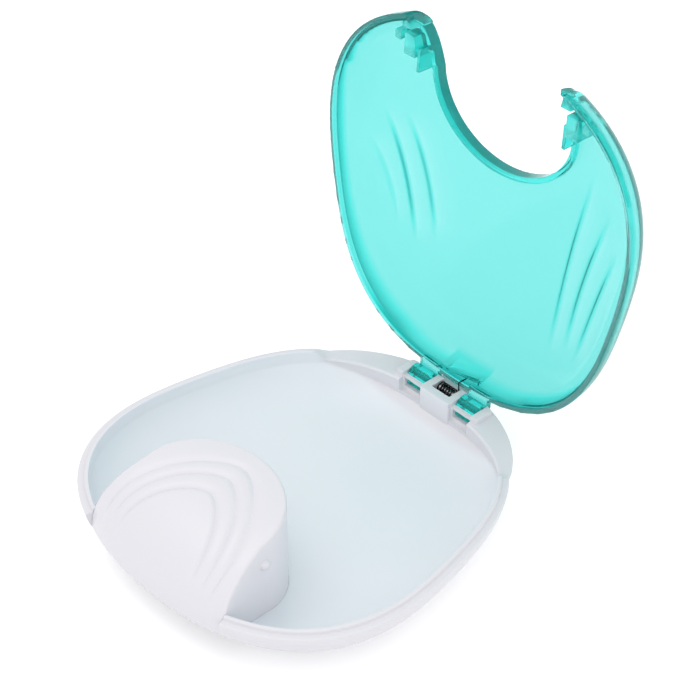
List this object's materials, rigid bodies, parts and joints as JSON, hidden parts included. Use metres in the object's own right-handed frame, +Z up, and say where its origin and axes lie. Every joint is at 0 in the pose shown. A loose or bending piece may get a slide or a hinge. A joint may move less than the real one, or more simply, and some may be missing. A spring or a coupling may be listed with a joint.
{
  "type": "denture case",
  "caption": "Rounded denture case: a shallow tray with a sprung clear lid, hinged at the rear, whose arched cutout fits over a large grooved press button that releases it.",
  "frame": {"origin": "middle of the case's outline, on its flat underside, where it stands on a table", "axes": "+X to the right seen from the front, +Y to the rear, towards the hinge, +Z up; the lid is open at rest, as in the picture"},
  "size_m": [0.0854, 0.1012, 0.0942],
  "materials": {
    "tray_white": "moulded, softly glossy",
    "lid_teal": "clear tinted plastic, polished",
    "button_white": "moulded, softly glossy",
    "pin_steel": "drawn wire",
    "spring_black": "blackened spring wire",
    "spring_bright": "bright spring wire"
  },
  "bodies": {
    "base": {"base_tray": "tray_white", "hinge_pin": "pin_steel", "lid_spring": "spring_black", "button_spring": "spring_bright"},
    "lid": {"lid": "lid_teal"},
    "button": {"press_button": "button_white"}
  },
  "joints": [
    {"name": "lid_hinge", "type": "hinge", "parent": "base", "child": "lid", "pos_m": [0, 0.0448, 0.0116], "axis": [1, 0, 0], "range_deg": [0, 93], "stiffness_Nm_per_rad": 0.006, "springref_deg": -28.65, "deforming": ["lid_spring"]},
    {"name": "button_press", "type": "slide", "parent": "base", "child": "button", "axis": [0, 0, -1], "range_m": [0, 0.0014], "stiffness_N_per_m": 400, "springref_m": -0.002, "deforming": ["button_spring"]}
  ]
}
